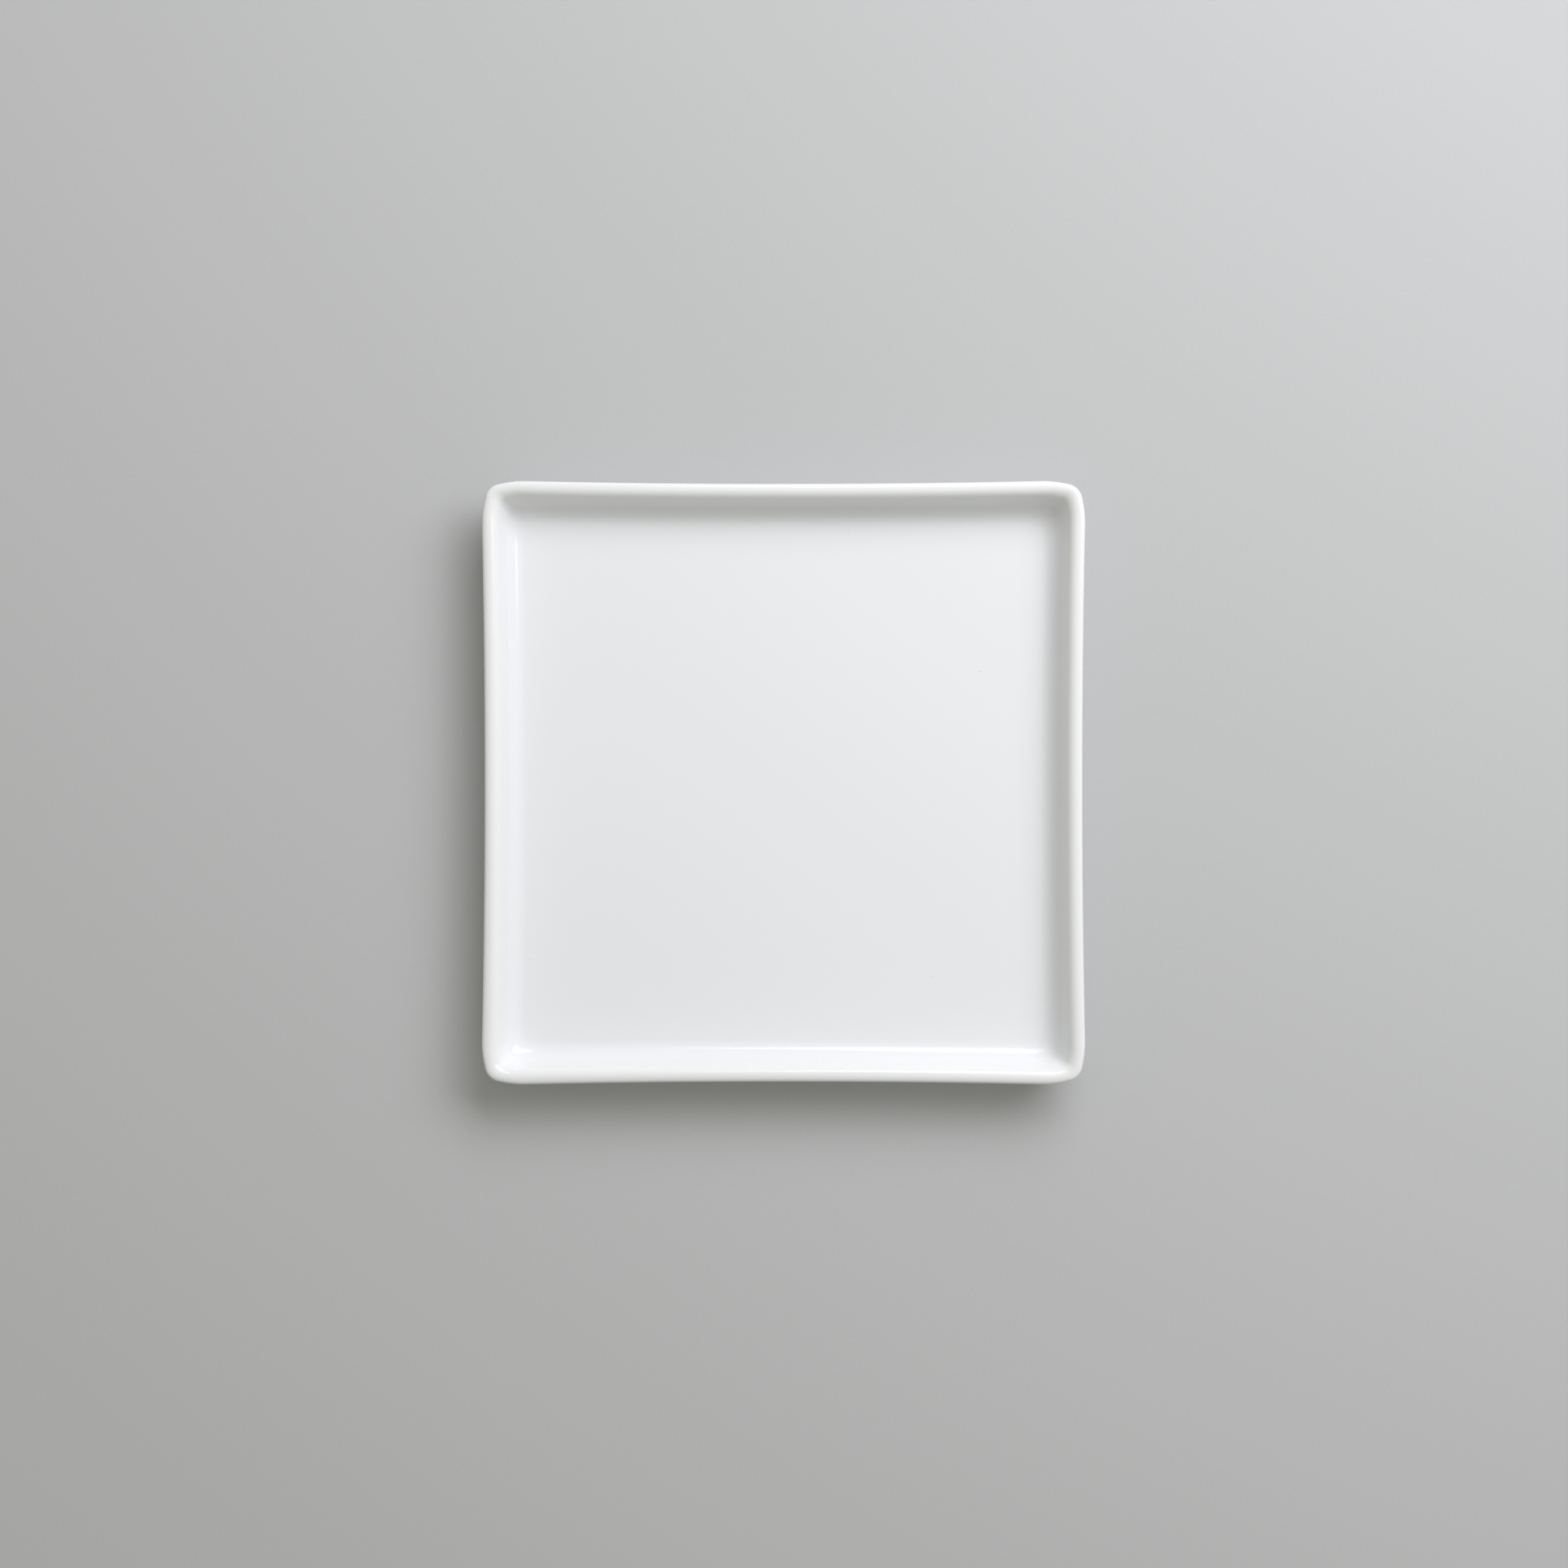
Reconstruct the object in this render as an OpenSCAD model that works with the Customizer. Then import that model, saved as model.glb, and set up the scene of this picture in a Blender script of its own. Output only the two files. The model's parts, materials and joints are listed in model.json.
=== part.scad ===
// Square dinner plate with leaning walls, a rolled lip and a raised foot ring.
// One pressed porcelain body carries two coats of glaze, which stop short of its ground foot.
// The plate is centred on the Z axis and stands on the plane z = 0.

/* [Plate] */
// Width over the corners, the same both ways
plate_w = 250; // [180:1:320]
// Height from the table to the top of the lip
plate_h = 22; // [18:0.5:36]
// Radius of the corners in plan, in their middle and on the widest line of the lip
corner_r = 7; // [5:0.5:12]
// Radius of the gentle curves that ease a corner into its sides, as a multiple of the corner's own
corner_ease_share = 6.5; // [1.5:0.5:8]
// How far each gentle curve turns, in degrees
corner_ease_turn = 14; // [4:1:24]
// How far the middle of each side is drawn in at the lip
lip_bow = 1.2; // [0.2:0.1:4]
// How far the middle of each side is drawn in at the table
base_bow = 0.6; // [0.2:0.1:4]

/* [Wall] */
// Thickness of the wall
wall_t = 5.8; // [4.8:0.1:7.5]
// Lean of the wall outwards from upright, in degrees
wall_lean = 23; // [8:1:32]
// Radius of the lip's outer edge, which is tighter than its inner side
lip_outer_r = 1.7; // [1:0.1:2.4]
// How far outside its top the lip changes to its wider inner curve, in degrees
lip_turn = 20; // [5:1:40]
// Radius of the heel, where the wall turns in under the plate
heel_r = 7; // [4:0.5:10]

/* [Well] */
// Thickness of the floor inside the foot ring
floor_t = 5.2; // [3:0.1:7]
// Radius of the curve that leads from the floor up into the wall
well_fillet_r = 8; // [3:0.5:10]
// Radius of the corners in plan, where the walls meet inside
well_corner_r = 4; // [2:0.5:12]

/* [Foot] */
// Height of the panel inside the foot ring above the table
foot_h = 3; // [2.6:0.1:4.5]
// Height of the underside above the table outside the foot ring
shoulder_h = 3.4; // [2.6:0.1:5]
// Distance from the heel in to the outer side of the foot ring
foot_set_in = 9; // [2:0.5:40]
// Width of the foot ring with its glaze
foot_w = 6; // [4:0.5:12]
// Radius of the foot ring's corners in plan
foot_corner_r = 5; // [2:0.5:6]
// Radius along both lower edges of the foot ring
foot_edge_r = 1.2; // [0.6:0.1:1.4]
// Radius where the foot ring grows out of the underside
foot_root_r = 1.2; // [0.5:0.1:1.5]
// Depth ground off the fired foot to make it flat
grind_d = 0.2; // [0.05:0.05:0.4]

/* [Glaze] */
// Thickness of the fired glaze
glaze_t = 0.25; // [0.1:0.05:0.4]
// Height above the table at which the glaze is wiped off the foot ring
glaze_line_h = 1.3; // [1:0.1:1.7]

/* [Hidden] */
// Flats along each corner and along each side in plan, and along a quarter turn of a section's arc
corner_steps = 10;
side_steps = 6;
arc_steps = 5;
// Most of the lip's corner radius that the corners further down may keep
settled_share = 0.9;
floor_top = foot_h + floor_t;
// How far a shape runs past the block that cuts it flat
overrun = grind_d;

// Sections are drawn with x as the distance in from the plate's edge and y as the height.
// Every arc keeps its centre when a surface sinks below the glaze, and only its radius changes.
// The lip's inner radius is the one whose curve ends on the inner face of the wall.
wall_normal = [cos(wall_lean), sin(wall_lean)];
lip_gain = (wall_t - 2 * lip_outer_r) / (1 - sin(wall_lean - lip_turn));
lip_inner_r = lip_outer_r + lip_gain;
lip_inner_centre = [lip_outer_r + lip_gain * sin(lip_turn), plate_h - lip_inner_r];
lip_outer_centre = [lip_outer_r, lip_inner_centre.y + lip_gain * cos(lip_turn)];
wall_reach = lip_outer_centre * wall_normal - lip_outer_r;
well_centre = inside_wall(wall_t + well_fillet_r, floor_top + well_fillet_r);
heel_centre = inside_wall(heel_r, shoulder_h + heel_r);
foot_outer = heel_centre.x + foot_set_in;
foot_inner = foot_outer + foot_w;
shoulder_root = [foot_outer - foot_root_r, shoulder_h - foot_root_r];
panel_root = [foot_inner + foot_root_r, foot_h - foot_root_r];

// The point at a height that lies a distance inside the outer face of the wall
function inside_wall(distance, height) =
    [(wall_reach + distance - height * wall_normal.y) / wall_normal.x, height];

// Points on an arc, without the first one where the arc before it already ends there
function arc(centre, radius, from, to, first = 0) =
    let(steps = ceil(abs(to - from) * arc_steps / 90))
    [for (i = [first:steps]) let(a = from + (to - from) * i / steps) centre + radius * [cos(a), sin(a)]];

// A corner's radius shrinks as fast as its outline moves in at first, and then settles
function settling_radius(settled_r, way_in) =
    let(end_r = min(settled_r, settled_share * corner_r), blend = 2 * (corner_r - end_r))
    end_r + pow(max(blend - way_in, 0), 2) / (2 * blend);

// Each point of a section becomes [distance in, height, corner radius in plan]
function with_corners(section, settled_r) = [for (p = section) [p.x, p.y, settling_radius(settled_r, p.x)]];

// From the shoulder round the heel, up the wall, over the lip and down into the well
function shell_section(depth) = concat(
    with_corners(concat(
        arc(heel_centre, heel_r - depth, 270, 180 + wall_lean),
        arc(lip_outer_centre, lip_outer_r - depth, 180 + wall_lean, 180)), foot_corner_r),
    with_corners(concat(
        arc(lip_outer_centre, lip_outer_r - depth, 180, 90 + lip_turn, first = 1),
        arc(lip_inner_centre, lip_inner_r - depth, 90 + lip_turn, 90, first = 1),
        arc(lip_inner_centre, lip_inner_r - depth, 90, wall_lean, first = 1),
        arc(well_centre, well_fillet_r + depth, 180 + wall_lean, 270)), well_corner_r));

// The curves where the foot ring grows out of the shoulder and out of the panel inside it
function shoulder_curve(depth) =
    with_corners(arc(shoulder_root, foot_root_r + depth, 0, 90), foot_corner_r);
function panel_curve(depth) =
    with_corners(arc(panel_root, foot_root_r + depth, 90, 180), foot_corner_r);

// Both lower edges of the bare foot ring, from its inner side to its outer side
function foot_edges(depth) =
    let(height = foot_edge_r - grind_d)
    with_corners(concat(
        arc([foot_inner - depth - foot_edge_r, height], foot_edge_r, 360, 270),
        arc([foot_outer + depth + foot_edge_r, height], foot_edge_r, 270, 180)), foot_corner_r);

// A point on a side of the foot ring, just below the line where the glaze is cut off
function below_glaze_line(way_in) = with_corners([[way_in, glaze_line_h - overrun]], foot_corner_r);

// The point of an eased corner that faces an angle: a gentle arc at either end and a round middle.
// The gentle arcs have their centres at [near, far] and [far, near], and the middle at [mid, mid].
function corner_point(a, radius, gentle_r, near, far, mid) =
    let(way = [cos(a), sin(a)])
    a < corner_ease_turn ? [near, far] + gentle_r * way
    : a > 90 - corner_ease_turn ? [far, near] + gentle_r * way
    : [mid, mid] + radius * way;

// Quarter turns that keep the four sides exactly alike
function turned(p, quarters) = quarters == 0 ? p : turned([-p.y, p.x], quarters - 1);

// One level outline of the plate: eased corners joined by sides that bow inwards
function outline(way_in, height, radius) =
    let(half = plate_w / 2 - way_in,
        gentle_r = radius * corner_ease_share, gain = gentle_r - radius,
        near = half - gentle_r, mid = near + gain * cos(corner_ease_turn),
        far = mid - gain * sin(corner_ease_turn),
        bow = base_bow + (lip_bow - base_bow) * height / plate_h,
        reach = (pow(far, 2) + pow(bow, 2)) / (2 * bow), turn = asin(far / reach),
        eased_corner = [for (i = [0:corner_steps])
            corner_point(90 * i / corner_steps, radius, gentle_r, near, far, mid)],
        bowed_side = [for (i = [0:side_steps]) let(a = turn - 2 * turn * i / side_steps)
            [(reach - gentle_r) * sin(a), half - bow + (reach - gentle_r) * (1 - cos(a))]])
    [for (quarter = [0:3], p = concat(eased_corner, bowed_side)) [each turned(p, quarter), height]];

function reversed(list) = [for (i = [len(list) - 1:-1:0]) list[i]];

// A closed solid from outlines that run outwards from its lower middle and back to its upper middle
module loft(section) {
    rings = [for (p = section) outline(p[0], p[1], p[2])];
    n = len(rings[0]);
    last = (len(rings) - 1) * n;
    middles = [for (ring = [rings[0], rings[len(rings) - 1]]) [0, 0, ring[0].z]];
    points = concat([for (ring = rings) each ring], middles);
    lower_middle = last + n;
    upper_middle = lower_middle + 1;
    faces = [
        for (j = [0:n - 1])
            let(k = (j + 1) % n)
            each concat(
                [[lower_middle, j, k], [upper_middle, last + k, last + j]],
                [for (i = [0:n:last - n]) each [[i + j, i + n + j, i + n + k], [i + j, i + n + k, i + k]]])
    ];
    polyhedron(points, faces);
}

// The block of space below a height
module below(height) {
    translate([-plate_w, -plate_w, height - plate_h])
        cube([2 * plate_w, 2 * plate_w, plate_h]);
}

// Pressed and fired porcelain, bare only on its foot, which is ground flat
module porcelain_body() {
    color("linen")
        difference() {
            loft(concat(
                panel_curve(glaze_t), foot_edges(glaze_t), shoulder_curve(glaze_t), shell_section(glaze_t)));
            below(0);
        }
}

// Glaze from the outer side of the foot ring over the wall and the lip and across the well
module glaze_coat() {
    color("whitesmoke")
        difference() {
            loft(concat(
                reversed(shell_section(glaze_t)), reversed(shoulder_curve(glaze_t)),
                below_glaze_line(foot_outer + glaze_t), below_glaze_line(foot_outer),
                shoulder_curve(0), shell_section(0)));
            below(glaze_line_h);
        }
}

// Glaze on the panel inside the foot ring and down the ring's inner side
module underside_glaze() {
    color("white")
        difference() {
            loft(concat(
                panel_curve(0), below_glaze_line(foot_inner),
                below_glaze_line(foot_inner - glaze_t), reversed(panel_curve(glaze_t))));
            below(glaze_line_h);
        }
}

porcelain_body();
glaze_coat();
underside_glaze();
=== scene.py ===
import json
import math

import bpy
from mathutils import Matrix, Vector


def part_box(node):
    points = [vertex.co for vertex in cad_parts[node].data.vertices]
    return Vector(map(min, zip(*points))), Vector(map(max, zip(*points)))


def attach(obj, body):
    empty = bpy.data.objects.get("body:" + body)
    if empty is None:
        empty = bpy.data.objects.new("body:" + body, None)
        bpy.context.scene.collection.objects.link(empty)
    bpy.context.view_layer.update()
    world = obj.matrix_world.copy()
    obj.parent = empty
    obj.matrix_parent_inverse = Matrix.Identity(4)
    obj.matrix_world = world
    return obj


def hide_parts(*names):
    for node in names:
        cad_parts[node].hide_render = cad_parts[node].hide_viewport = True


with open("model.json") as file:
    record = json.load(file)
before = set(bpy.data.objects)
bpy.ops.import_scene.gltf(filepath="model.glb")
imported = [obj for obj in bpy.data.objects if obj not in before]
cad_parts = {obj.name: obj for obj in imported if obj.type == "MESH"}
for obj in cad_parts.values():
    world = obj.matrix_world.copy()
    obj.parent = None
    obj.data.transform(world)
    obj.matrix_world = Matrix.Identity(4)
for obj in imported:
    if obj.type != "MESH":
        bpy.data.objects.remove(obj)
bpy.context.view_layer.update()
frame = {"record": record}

# Porcelain body
# One pressed body of fired white porcelain: the floor, the four leaning walls, the rolled lip and the
# foot ring are one piece. Glaze hides it, but for the face of its foot, which is ground flat and bare.
MM = 0.001
coat_low, coat_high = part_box("glaze_coat")
body_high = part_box("porcelain_body")[1]
panel_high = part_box("underside_glaze")[1]
mount_places = {mount["name"]: mount["pos_m"] for mount in frame["record"]["mounts"]}

plate_w = 2 * coat_high.x
plate_h = coat_high.z
glaze_t = plate_h - body_high.z
floor_top = mount_places["well_floor"][2]
glaze_line_h = coat_low.z
foot_h = panel_high.z - glaze_t
corner_r = 7 * MM
corner_ease_share = 6.5
corner_ease_turn = math.radians(14)
lip_bow = 1.2 * MM
base_bow = 0.6 * MM
wall_t = 5.8 * MM
wall_lean = math.radians(23)
lip_outer_r = 1.7 * MM
lip_turn = math.radians(20)
heel_r = 7 * MM
shoulder_h = 3.4 * MM
well_fillet_r = 8 * MM
well_corner_r = 4 * MM
foot_w = 6 * MM
foot_corner_r = 5 * MM
foot_edge_r = 1.2 * MM
foot_root_r = 1.2 * MM
grind_d = 0.2 * MM
ground_margin = 0.1 * MM

# How much of the full coat of glaze each stretch keeps, because it runs off edges while it melts
full_glaze_share = 1.0
heel_glaze_share = 0.8
wall_glaze_share = 0.5
lip_glaze_share = 0.2

# A section is drawn with x as the distance in from the plate's edge and y as the height. The lip has a
# tight outer edge and a wider inner curve, whose radius lets it end on the inner face of the wall.
arc_step = math.radians(4)
wall_normal = Vector((math.cos(wall_lean), math.sin(wall_lean)))
lip_gain = (wall_t - 2 * lip_outer_r) / (1 - math.sin(wall_lean - lip_turn))
lip_inner_r = lip_outer_r + lip_gain
lip_inner_centre = Vector((lip_outer_r + lip_gain * math.sin(lip_turn), plate_h - lip_inner_r))
lip_outer_centre = Vector((lip_outer_r, lip_inner_centre.y + lip_gain * math.cos(lip_turn)))


def inside_wall(distance, height):
    """The point at a height that lies a distance inside the outer face of the wall."""
    wall_reach = lip_outer_centre.dot(wall_normal) - lip_outer_r
    return Vector(((wall_reach + distance - height * wall_normal.y) / wall_normal.x, height))


well_centre = inside_wall(wall_t + well_fillet_r, floor_top + well_fillet_r)
heel_centre = inside_wall(heel_r, shoulder_h + heel_r)
foot_inner = plate_w / 2 - panel_high.x + glaze_t
foot_outer = foot_inner - foot_w
shoulder_root = Vector((foot_outer - foot_root_r, shoulder_h - foot_root_r))
panel_root = Vector((foot_inner + foot_root_r, foot_h - foot_root_r))


def arc(centre, radius, start, end):
    """Points on an arc of a section, from one angle to another, in degrees."""
    start, end = math.radians(start), math.radians(end)
    steps = max(1, round(abs(end - start) / arc_step))
    angles = [start + (end - start) * i / steps for i in range(steps + 1)]
    return [centre + radius * Vector((math.cos(a), math.sin(a))) for a in angles]


def outlines(points, settled_r, glaze_share=full_glaze_share):
    """Each point of a section as (way in, height, corner radius, spread, share of the full glaze)."""
    blend = 2 * (corner_r - settled_r)
    return [
        (p.x, p.y, settled_r + max(blend - p.x, 0) ** 2 / (2 * blend), 1.0, glaze_share)
        for p in points
    ]


def across_middle(way_in, height, settled_r):
    """Outlines that shrink to the plate's middle, the first of them close beside the curve they leave."""
    spread_shares = (0.997, 0.94, 0.85, 0.7, 0.5, 0.3, 0.12, 0.0)
    return [(way_in, height, settled_r, share, full_glaze_share) for share in spread_shares]


def between(start, end, steps=6):
    """Points on the straight stretch of a section that lies between two arcs."""
    return [start.lerp(end, i / steps) for i in range(1, steps)]


def shell_section(depth):
    """From the shoulder round the heel, up the wall, over the lip and down to the well's floor."""
    lean = math.degrees(wall_lean)
    join = 90 + math.degrees(lip_turn)
    heel = arc(heel_centre, heel_r - depth, 270, 180 + lean)
    lip_below = arc(lip_outer_centre, lip_outer_r - depth, 180 + lean, 180)
    lip_above = (
        arc(lip_outer_centre, lip_outer_r - depth, 180, join)[1:]
        + arc(lip_inner_centre, lip_inner_r - depth, join, 90)[1:]
        + arc(lip_inner_centre, lip_inner_r - depth, 90, lean)[1:]
    )
    well = arc(well_centre, well_fillet_r + depth, 180 + lean, 270)
    return (
        outlines(heel, foot_corner_r, heel_glaze_share)
        + outlines(between(heel[-1], lip_below[0]), foot_corner_r, wall_glaze_share)
        + outlines(lip_below, foot_corner_r, lip_glaze_share)
        + outlines(lip_above, well_corner_r, lip_glaze_share)
        + outlines(between(lip_above[-1], well[0]), well_corner_r, wall_glaze_share)
        + outlines(well, well_corner_r)
        + across_middle(well_centre.x, floor_top - depth, well_corner_r)
    )


def shoulder_curve(depth):
    """The curve where the outer side of the foot grows out of the underside."""
    return outlines(arc(shoulder_root, foot_root_r + depth, 0, 90), foot_corner_r)


def panel_curve(depth):
    """From the middle of the panel inside the foot out over the curve where the foot grows out of it."""
    points = outlines(arc(panel_root, foot_root_r + depth, 90, 180), foot_corner_r)
    return across_middle(panel_root.x, foot_h + depth, foot_corner_r)[::-1] + points


def foot_face():
    """Both round lower edges of the foot and the flat that is ground across them."""
    height = foot_edge_r - grind_d
    cut = math.degrees(math.asin(height / foot_edge_r))
    margin = Vector((ground_margin, 0))
    inner = arc(Vector((foot_inner - glaze_t - foot_edge_r, height)), foot_edge_r, 360, 360 - cut)
    outer = arc(Vector((foot_outer + glaze_t + foot_edge_r, height)), foot_edge_r, 180 + cut, 180)
    ground = [inner[-1] - margin, outer[0] + margin]
    return outlines(inner + ground + outer, foot_corner_r)


def add(tree, kind, *values, **settings):
    """A node with its settings made, and its inputs in order linked or set."""
    made = tree.nodes.new(kind)
    for name, value in settings.items():
        setattr(made, name, value)
    for socket, value in zip(made.inputs, values):
        if isinstance(value, bpy.types.NodeSocket):
            tree.links.new(value, socket)
        elif value is not None:
            socket.default_value = value
    return made


def maths(tree, operation, *values):
    return add(tree, "ShaderNodeMath", *values, operation=operation).outputs[0]


def whole(tree, operation, *values):
    return add(tree, "FunctionNodeIntegerMath", *values, operation=operation).outputs[0]


def new_group(name, kind, inputs, outputs):
    """A node group with its sockets, its input node's outputs by name, and its output node."""
    tree = bpy.data.node_groups.new(name, kind)
    for direction, sockets in (("INPUT", inputs), ("OUTPUT", outputs)):
        for label, socket_kind in sockets:
            tree.interface.new_socket(label, in_out=direction, socket_type=socket_kind)
    return tree, tree.nodes.new("NodeGroupInput").outputs, tree.nodes.new("NodeGroupOutput")


def sampled(tree, geometry, kind, value, index):
    """A value of the section at one of its points."""
    node = add(tree, "GeometryNodeSampleIndex", data_type=kind, domain="POINT")
    tree.links.new(geometry, node.inputs["Geometry"])
    tree.links.new(value, node.inputs["Value"])
    tree.links.new(index, node.inputs["Index"])
    return node.outputs[0]


def section_value(tree, geometry, name, index):
    value = add(tree, "GeometryNodeInputNamedAttribute", name, data_type="FLOAT").outputs[0]
    return sampled(tree, geometry, "FLOAT", value, index)


def chosen(tree, choice, otherwise, value):
    return add(tree, "GeometryNodeSwitch", choice, otherwise, value, input_type="FLOAT").outputs[0]


corner_steps = 45
side_steps = 24
weld_distance = 0.001 * MM

loft_tree, sizes, loft_out = new_group(
    "Bowed square loft",
    "GeometryNodeTree",
    [
        ("Section", "NodeSocketGeometry"),
        ("Plate Width", "NodeSocketFloat"),
        ("Plate Height", "NodeSocketFloat"),
        ("Lip Bow", "NodeSocketFloat"),
        ("Base Bow", "NodeSocketFloat"),
        ("Corner Ease Share", "NodeSocketFloat"),
        ("Corner Ease Turn", "NodeSocketFloat"),
        ("Corner Steps", "NodeSocketInt"),
        ("Side Steps", "NodeSocketInt"),
        ("Material", "NodeSocketMaterial"),
    ],
    [("Geometry", "NodeSocketGeometry")],
)
tree = loft_tree
point_count = add(tree, "GeometryNodeAttributeDomainSize", sizes["Section"]).outputs["Point Count"]
corner_points = whole(tree, "ADD", sizes["Corner Steps"], 1)
side_points = whole(tree, "ADD", sizes["Side Steps"], 1)
per_quarter = whole(tree, "ADD", corner_points, side_points)
around = whole(tree, "MULTIPLY", per_quarter, 4)
grid = add(tree, "GeometryNodeMeshGrid", 1.0, 1.0, whole(tree, "ADD", around, 1), point_count)
index = add(tree, "GeometryNodeInputIndex").outputs[0]
ring = whole(tree, "MODULO", index, point_count)
step = whole(tree, "MODULO", whole(tree, "DIVIDE_FLOOR", index, point_count), around)
quarter = whole(tree, "DIVIDE_FLOOR", step, per_quarter)
place = whole(tree, "MODULO", step, per_quarter)

section_place = sampled(
    tree, sizes["Section"], "FLOAT_VECTOR", add(tree, "GeometryNodeInputPosition").outputs[0], ring
)
section_axes = add(tree, "ShaderNodeSeparateXYZ", section_place).outputs
way_in, height = section_axes["X"], section_axes["Z"]
radius = section_value(tree, sizes["Section"], "corner_radius", ring)
spread = section_value(tree, sizes["Section"], "spread", ring)
glaze_share = section_value(tree, sizes["Section"], "glaze_share", ring)

# The outline at this height: a corner with a round middle between two gentle arcs, whose centres lie
# near and far from the plate's middle lines, and a side that bows inwards from one corner to the next
half = maths(tree, "SUBTRACT", maths(tree, "DIVIDE", sizes["Plate Width"], 2.0), way_in)
ease_turn = sizes["Corner Ease Turn"]
gentle_r = maths(tree, "MULTIPLY", radius, sizes["Corner Ease Share"])
gain = maths(tree, "SUBTRACT", gentle_r, radius)
near = maths(tree, "SUBTRACT", half, gentle_r)
middle = maths(tree, "MULTIPLY_ADD", gain, maths(tree, "COSINE", ease_turn), near)
far = maths(tree, "SUBTRACT", middle, maths(tree, "MULTIPLY", gain, maths(tree, "SINE", ease_turn)))

rise = maths(tree, "DIVIDE", height, sizes["Plate Height"])
bow_gain = maths(tree, "SUBTRACT", sizes["Lip Bow"], sizes["Base Bow"])
bow = maths(tree, "MULTIPLY_ADD", bow_gain, rise, sizes["Base Bow"])
squares = maths(tree, "MULTIPLY_ADD", far, far, maths(tree, "MULTIPLY", bow, bow))
reach = maths(tree, "DIVIDE", squares, maths(tree, "MULTIPLY", bow, 2.0))
turn = maths(tree, "ARCSINE", maths(tree, "DIVIDE", far, reach))
side_r = maths(tree, "SUBTRACT", reach, gentle_r)

corner_way = maths(tree, "DIVIDE", place, sizes["Corner Steps"])
corner_angle = maths(tree, "MULTIPLY", corner_way, math.pi / 2)
on_first = maths(tree, "LESS_THAN", corner_angle, ease_turn)
on_last = maths(tree, "GREATER_THAN", corner_angle, maths(tree, "SUBTRACT", math.pi / 2, ease_turn))
centre_x = chosen(tree, on_first, chosen(tree, on_last, middle, far), near)
centre_y = chosen(tree, on_first, chosen(tree, on_last, middle, near), far)
arc_r = chosen(tree, maths(tree, "ADD", on_first, on_last), radius, gentle_r)
corner_x = maths(tree, "MULTIPLY_ADD", arc_r, maths(tree, "COSINE", corner_angle), centre_x)
corner_y = maths(tree, "MULTIPLY_ADD", arc_r, maths(tree, "SINE", corner_angle), centre_y)

side_way = maths(tree, "DIVIDE", maths(tree, "SUBTRACT", place, corner_points), sizes["Side Steps"])
side_angle = maths(tree, "MULTIPLY", turn, maths(tree, "MULTIPLY_ADD", side_way, -2.0, 1.0))
half_sine = maths(tree, "SINE", maths(tree, "DIVIDE", side_angle, 2.0))
drop = maths(tree, "MULTIPLY", maths(tree, "MULTIPLY", half_sine, half_sine), 2.0)
side_x = maths(tree, "MULTIPLY", side_r, maths(tree, "SINE", side_angle))
side_y = maths(tree, "MULTIPLY_ADD", side_r, drop, maths(tree, "SUBTRACT", half, bow))

on_corner = maths(tree, "LESS_THAN", place, corner_points)
flat_place = add(
    tree,
    "ShaderNodeCombineXYZ",
    chosen(tree, on_corner, side_x, corner_x),
    chosen(tree, on_corner, side_y, corner_y),
).outputs[0]
quarter_angle = maths(tree, "MULTIPLY", quarter, math.pi / 2)
turned = add(tree, "ShaderNodeVectorRotate", flat_place, rotation_type="Z_AXIS")
tree.links.new(quarter_angle, turned.inputs["Angle"])
flat = add(tree, "ShaderNodeVectorMath", turned.outputs[0], operation="SCALE")
tree.links.new(spread, flat.inputs["Scale"])
lift = add(tree, "ShaderNodeCombineXYZ", 0.0, 0.0, height).outputs[0]
position = add(tree, "ShaderNodeVectorMath", flat.outputs[0], lift, operation="ADD").outputs[0]

shaped = add(tree, "GeometryNodeSetPosition", grid.outputs["Mesh"])
tree.links.new(position, shaped.inputs["Position"])
stored = add(tree, "GeometryNodeStoreNamedAttribute", shaped.outputs[0], data_type="FLOAT", domain="POINT")
stored.inputs["Name"].default_value = "glaze_share"
tree.links.new(glaze_share, stored.inputs["Value"])
merged = add(tree, "GeometryNodeMergeByDistance", stored.outputs[0])
merged.inputs["Distance"].default_value = weld_distance
smooth = add(tree, "GeometryNodeSetShadeSmooth", merged.outputs[0])
real = add(tree, "GeometryNodeRealizeInstances", smooth.outputs[0])
finished = add(tree, "GeometryNodeSetMaterial", real.outputs[0])
tree.links.new(sizes["Material"], finished.inputs["Material"])
tree.links.new(finished.outputs[0], loft_out.inputs[0])


def loft(name, section, material):
    """A closed solid whose outlines follow a section out from its lower middle and back in above."""
    mesh = bpy.data.meshes.new(name)
    mesh.from_pydata([(way_in, 0, height) for way_in, height, *_ in section], [], [])
    for column, label in enumerate(("corner_radius", "spread", "glaze_share"), start=2):
        marks = mesh.attributes.new(label, "FLOAT", "POINT").data
        marks.foreach_set("value", [outline[column] for outline in section])
    piece = bpy.data.objects.new(name, mesh)
    bpy.context.scene.collection.objects.link(piece)
    modifier = piece.modifiers.new("loft", "NODES")
    modifier.node_group = loft_tree
    values = {
        "Plate Width": plate_w,
        "Plate Height": plate_h,
        "Lip Bow": lip_bow,
        "Base Bow": base_bow,
        "Corner Ease Share": corner_ease_share,
        "Corner Ease Turn": corner_ease_turn,
        "Corner Steps": corner_steps,
        "Side Steps": side_steps,
        "Material": material,
    }
    for item in loft_tree.interface.items_tree:
        if item.in_out == "INPUT" and item.name in values:
            modifier[item.identifier] = values[item.name]
    depsgraph = bpy.context.evaluated_depsgraph_get()
    piece.data = bpy.data.meshes.new_from_object(
        piece.evaluated_get(depsgraph), preserve_all_data_layers=True, depsgraph=depsgraph
    )
    piece.modifiers.clear()
    return piece


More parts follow.
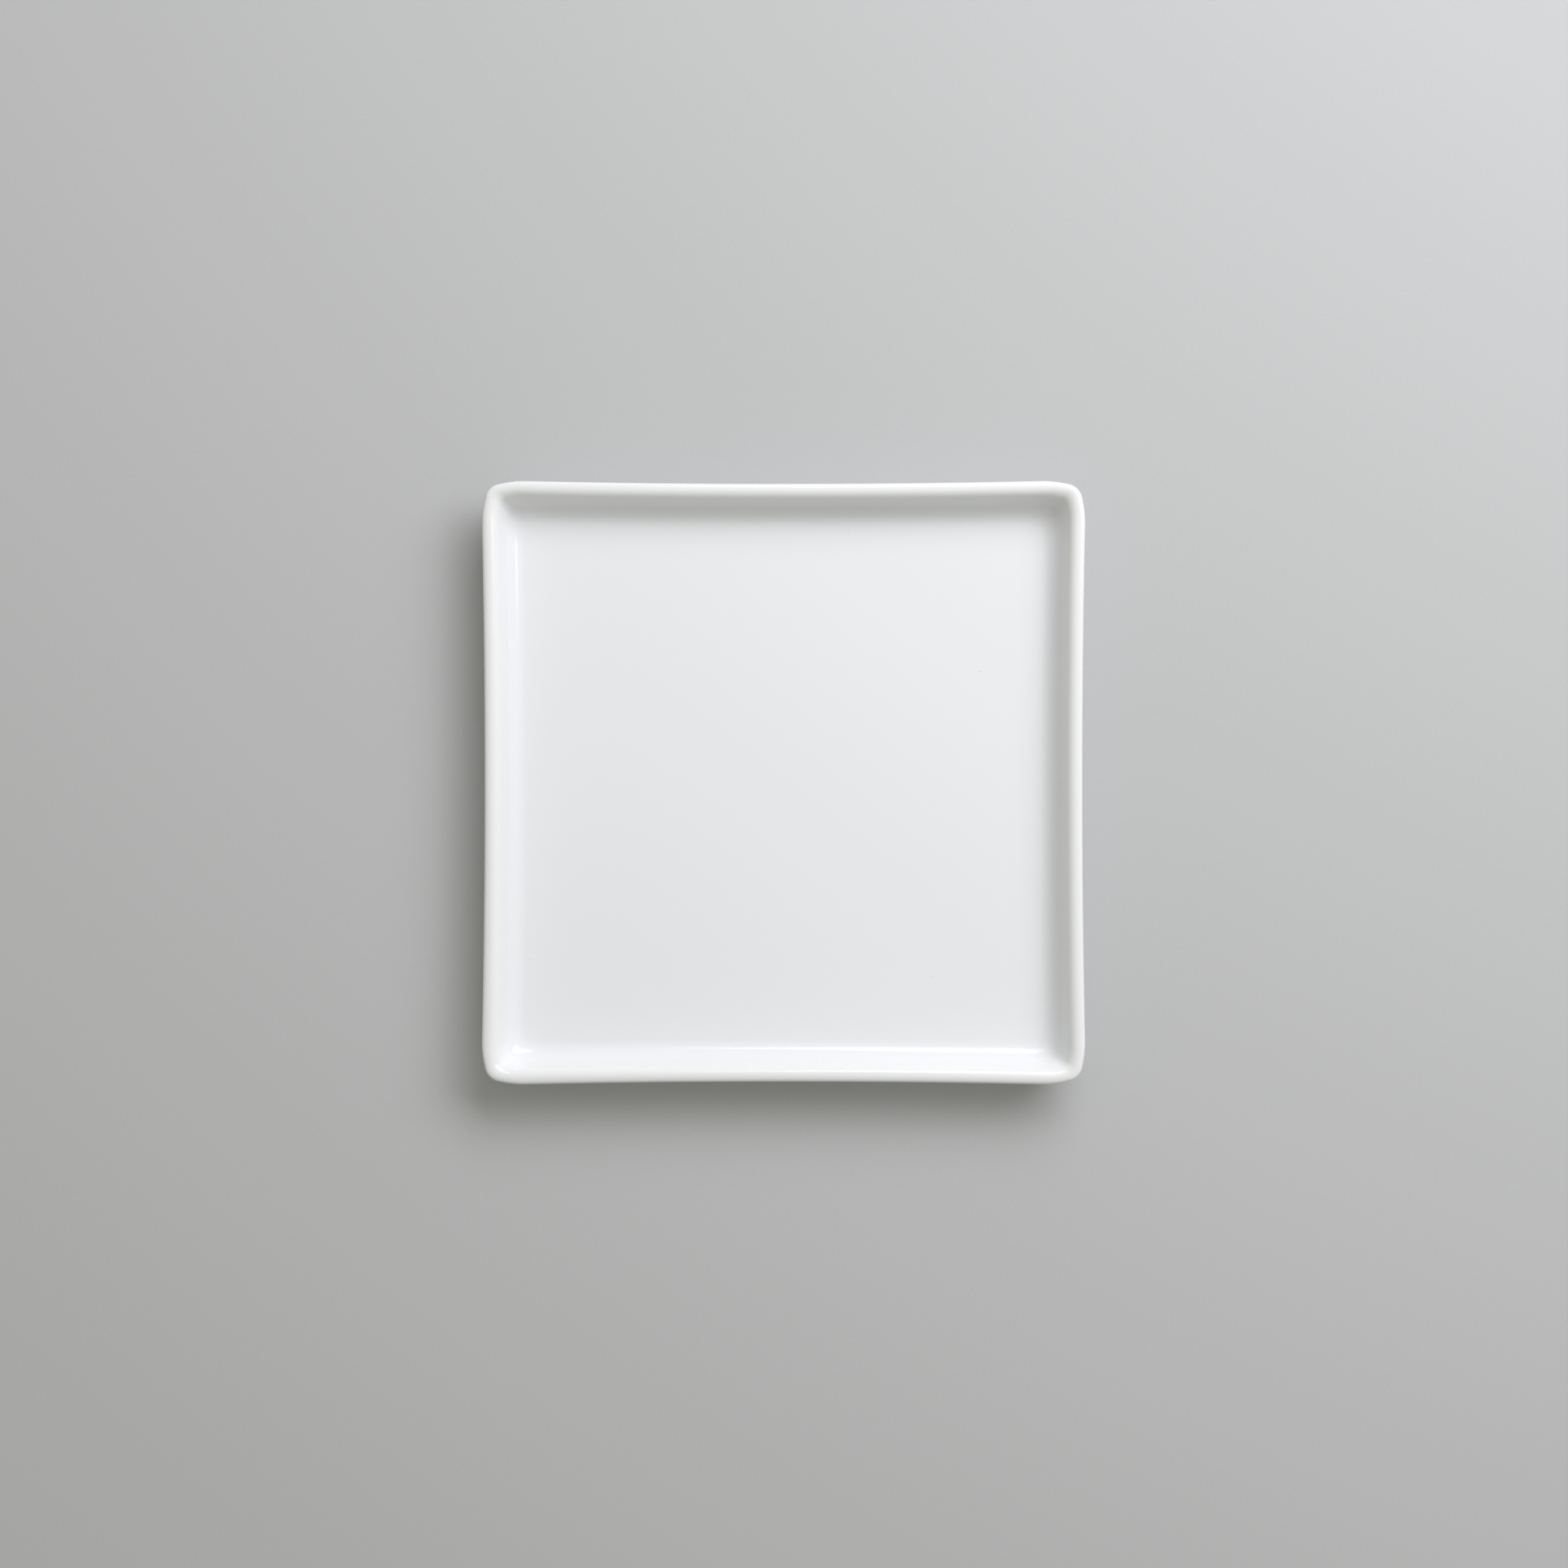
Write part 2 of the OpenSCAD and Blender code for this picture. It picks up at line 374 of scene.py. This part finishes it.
def new_material(name):
    """A material with its tree, its Principled shader and the object's own coordinates."""
    material = bpy.data.materials.new(name)
    material.use_nodes = True
    tree = material.node_tree
    return material, tree, tree.nodes["Principled BSDF"], add(tree, "ShaderNodeTexCoord").outputs["Object"]


def noise(tree, where, per_metre, detail):
    made = add(tree, "ShaderNodeTexNoise", where)
    made.inputs["Scale"].default_value = per_metre
    made.inputs["Detail"].default_value = detail
    return made.outputs["Fac"]


def mixed(tree, share, first, second):
    made = add(tree, "ShaderNodeMix", data_type="RGBA")
    for socket, value in zip((made.inputs[0], made.inputs[6], made.inputs[7]), (share, first, second)):
        if isinstance(value, bpy.types.NodeSocket):
            tree.links.new(value, socket)
        else:
            socket.default_value = value
    return made.outputs[2]


def remapped(tree, value, low, high, to_low, to_high):
    return add(tree, "ShaderNodeMapRange", value, low, high, to_low, to_high).outputs[0]


def ranged(tree, pattern, low, high):
    """A noise pattern, whose values mostly lie between 0.3 and 0.7, brought into a range."""
    return remapped(tree, pattern, 0.3, 0.7, low, high)


def raised(tree, shader, pattern, strength, height):
    """The pattern stands up from the surface by as much as a height."""
    bump = add(tree, "ShaderNodeBump", strength, height)
    tree.links.new(pattern, bump.inputs["Height"])
    tree.links.new(bump.outputs[0], shader.inputs["Normal"])


dark_clay = (0.70, 0.66, 0.58, 1)
pale_clay = (0.80, 0.77, 0.70, 1)
rubbed_grey = (0.52, 0.50, 0.47, 1)
rub_start = 0.52
rub_full = 0.68
most_rubbed = 0.5
smoothest_clay = 0.62
roughest_clay = 0.86
grit_height = 0.05 * MM

body_material, tree, shader, where = new_material("bare porcelain")
grit = noise(tree, where, per_metre=2600, detail=4)
blotches = noise(tree, where, per_metre=60, detail=3)
rub_marks = noise(tree, where, per_metre=140, detail=5)
rubbed = remapped(tree, rub_marks, rub_start, rub_full, 0.0, most_rubbed)
clay = mixed(tree, blotches, dark_clay, pale_clay)
tree.links.new(mixed(tree, rubbed, clay, rubbed_grey), shader.inputs["Base Color"])
tree.links.new(ranged(tree, grit, smoothest_clay, roughest_clay), shader.inputs["Roughness"])
raised(tree, shader, grit, strength=0.5, height=grit_height)

body = loft(
    "porcelain_body_fired",
    panel_curve(glaze_t) + foot_face() + shoulder_curve(glaze_t) + shell_section(glaze_t),
    body_material,
)
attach(body, "root")
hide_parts("porcelain_body")

# Glaze coat
# Clear glaze over the white body, dipped on and fired to a coat of glass about a quarter millimetre
# thick. It ends in a small bead on the outer side of the foot, where it is wiped off before firing.
most_drift = 0.12
specks_per_metre = 55.0
speck_core_share = 0.4
speck_depth = 0.55
speck_colour = (0.16, 0.15, 0.13, 1)
smoothest_glass = 0.06
roughest_glass = 0.10
peel_share = 0.06
glass_ior = 1.52
glass_specular = 0.3

glaze_group, given, group_out = new_group(
    "Fired glaze",
    "ShaderNodeTree",
    [
        ("Coordinates", "NodeSocketVector"),
        ("Thin Colour", "NodeSocketColor"),
        ("Thick Colour", "NodeSocketColor"),
        ("Glaze Share", "NodeSocketFloat"),
        ("Speck Size", "NodeSocketFloat"),
    ],
    [
        ("Colour", "NodeSocketColor"),
        ("Roughness", "NodeSocketFloat"),
        ("Height", "NodeSocketFloat"),
    ],
)
tree = glaze_group
where = given["Coordinates"]

# The glass is a little thicker here and thinner there, which shows in its tint
drift = ranged(tree, noise(tree, where, per_metre=22, detail=3), -most_drift, most_drift)
pooled = maths(tree, "ADD", given["Glaze Share"], drift)
pooled.node.use_clamp = True
glass = mixed(tree, pooled, given["Thin Colour"], given["Thick Colour"])

# Tiny dark specks that burnt out of the clay, most of them below the surface
cells = add(tree, "ShaderNodeTexVoronoi", where)
cells.inputs["Scale"].default_value = specks_per_metre
speck_reach = maths(tree, "MULTIPLY", given["Speck Size"], specks_per_metre)
from_speck = maths(tree, "DIVIDE", cells.outputs["Distance"], speck_reach)
speck = remapped(tree, from_speck, speck_core_share, 1.0, speck_depth, 0.0)
tree.links.new(mixed(tree, speck, glass, speck_colour), group_out.inputs["Colour"])

# A faint bloom in the gloss, a slow sag and a very fine peel
bloom = noise(tree, where, per_metre=90, detail=4)
tree.links.new(ranged(tree, bloom, smoothest_glass, roughest_glass), group_out.inputs["Roughness"])
sag = noise(tree, where, per_metre=45, detail=1)
peel = maths(tree, "MULTIPLY", noise(tree, where, per_metre=420, detail=1), peel_share)
tree.links.new(maths(tree, "ADD", sag, peel), group_out.inputs["Height"])


def glazed(name, thin_colour, thick_colour, speck_size, wave_height):
    """A glaze material: white body colour seen through glass that is thinner on edges."""
    material, tree, shader, where = new_material(name)
    share = add(tree, "ShaderNodeAttribute", attribute_name="glaze_share").outputs["Fac"]
    surface = add(
        tree,
        "ShaderNodeGroup",
        where,
        thin_colour,
        thick_colour,
        share,
        speck_size,
        node_tree=glaze_group,
    ).outputs
    tree.links.new(surface["Colour"], shader.inputs["Base Color"])
    tree.links.new(surface["Roughness"], shader.inputs["Roughness"])
    raised(tree, shader, surface["Height"], strength=1.0, height=wave_height)
    shader.inputs["IOR"].default_value = glass_ior
    shader.inputs["Specular IOR Level"].default_value = glass_specular
    return material


coat_material = glazed(
    "white glaze",
    thin_colour=(0.832, 0.834, 0.834, 1),
    thick_colour=(0.832, 0.833, 0.860, 1),
    speck_size=0.25 * MM,
    wave_height=0.02 * MM,
)
bead = arc(Vector((foot_outer + glaze_t, glaze_line_h + glaze_t)), glaze_t, 270, 180)
coat = loft(
    "glaze_coat_fired",
    shell_section(glaze_t)[::-1]
    + shoulder_curve(glaze_t)[::-1]
    + outlines(bead, foot_corner_r)
    + shoulder_curve(0)
    + shell_section(0),
    coat_material,
)
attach(coat, "root")
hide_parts("glaze_coat")

# Underside glaze
# The same glaze on the panel inside the foot ring, which hangs as a skin while it melts and so sets
# a little wavier and thinner than in the well. It ends on the inner side of the foot in a like bead.
underside_material = glazed(
    "underside white glaze",
    thin_colour=(0.79, 0.79, 0.765, 1),
    thick_colour=(0.79, 0.80, 0.80, 1),
    speck_size=0.35 * MM,
    wave_height=0.035 * MM,
)
bead = arc(Vector((foot_inner - glaze_t, glaze_line_h + glaze_t)), glaze_t, 360, 270)
underside = loft(
    "underside_glaze_fired",
    panel_curve(0) + outlines(bead, foot_corner_r) + panel_curve(glaze_t)[::-1],
    underside_material,
)
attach(underside, "root")
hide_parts("underside_glaze")

# Photo stage
# A pale matt tabletop under the plate, a pale backdrop beyond it, one large soft lamp high on the right
# behind the plate, a weak even surround, and a camera straight above it.
table_reach = 3.0
fade_start = 0.48
fade_end = 1.3
dark_paper = (0.50, 0.50, 0.508, 1)
pale_paper = (0.54, 0.54, 0.548, 1)
backdrop_colour = (0.60, 0.60, 0.60, 1)

table_signs = ((-1, -1), (1, -1), (1, 1), (-1, 1))
table_mesh = bpy.data.meshes.new("tabletop")
table_mesh.from_pydata([(x * table_reach, y * table_reach, 0) for x, y in table_signs], [], [(0, 1, 2, 3)])
tabletop = bpy.data.objects.new("tabletop", table_mesh)
bpy.context.scene.collection.objects.link(tabletop)
table_material, tree, shader, where = new_material("pale tabletop")
paper_grain = noise(tree, where, per_metre=900, detail=3)
tree.links.new(mixed(tree, paper_grain, dark_paper, pale_paper), shader.inputs["Base Color"])
shader.inputs["Roughness"].default_value = 0.85
shader.inputs["Specular IOR Level"].default_value = 0.2


def looked_at(tree):
    """1 for a ray of the camera or of a reflection, which meets the backdrop, and 0 for plain light."""
    path = add(tree, "ShaderNodeLightPath").outputs
    return maths(tree, "MAXIMUM", path["Is Camera Ray"], path["Is Glossy Ray"])


# Far from the plate the tabletop passes into the same pale backdrop that a level look meets
way_out = add(tree, "ShaderNodeVectorMath", where, operation="LENGTH").outputs["Value"]
faded = maths(tree, "MULTIPLY", remapped(tree, way_out, fade_start, fade_end, 0.0, 1.0), looked_at(tree))
far_table = add(tree, "ShaderNodeEmission", backdrop_colour).outputs[0]
table_surface = add(tree, "ShaderNodeMixShader", faded, shader.outputs[0], far_table).outputs[0]
tree.links.new(table_surface, tree.nodes["Material Output"].inputs["Surface"])
table_mesh.materials.append(table_material)

world = bpy.data.worlds.new("studio")
world.use_nodes = True
tree = world.node_tree
surround = tree.nodes["Background"]
surround.inputs["Color"].default_value = (0.98, 1, 0.89, 1)
surround.inputs["Strength"].default_value = 0.43
backdrop = add(tree, "ShaderNodeBackground", backdrop_colour).outputs[0]
world_surface = add(tree, "ShaderNodeMixShader", looked_at(tree), surround.outputs[0], backdrop).outputs[0]
tree.links.new(world_surface, tree.nodes["World Output"].inputs["Surface"])
bpy.context.scene.world = world

lamp_place = Vector((0.66, 0.86, 1.0))
lamp = bpy.data.lights.new("softbox", "AREA")
lamp.shape = "RECTANGLE"
lamp.size = 1.60
lamp.size_y = 0.84
lamp.energy = 21.9
lamp.color = (0.950, 0.948, 1.0)
softbox = bpy.data.objects.new("softbox", lamp)
softbox.location = lamp_place
softbox.rotation_mode = "QUATERNION"
softbox.rotation_quaternion = lamp_place.to_track_quat("Z", "Y")
bpy.context.scene.collection.objects.link(softbox)

# The photo is 1932 pixels wide, the plate spans 744 of them, and its middle lies just off the photo's
photo_px = 1932
plate_px = 744.4
plate_centre_px = (965.4, 964.4)
camera_height = 1.2
frame_w = plate_w * photo_px / plate_px
lens_data = bpy.data.cameras.new("overhead camera")
lens_data.angle = 2 * math.atan(frame_w / 2 / (camera_height - plate_h))
lens_data.clip_start = 0.05
lens_data.clip_end = 20.0
camera = bpy.data.objects.new("overhead camera", lens_data)
camera.location = (
    (photo_px / 2 - plate_centre_px[0]) * frame_w / photo_px,
    (plate_centre_px[1] - photo_px / 2) * frame_w / photo_px,
    camera_height,
)
bpy.context.scene.collection.objects.link(camera)
bpy.context.scene.camera = camera
bpy.context.scene.view_settings.view_transform = "Standard"
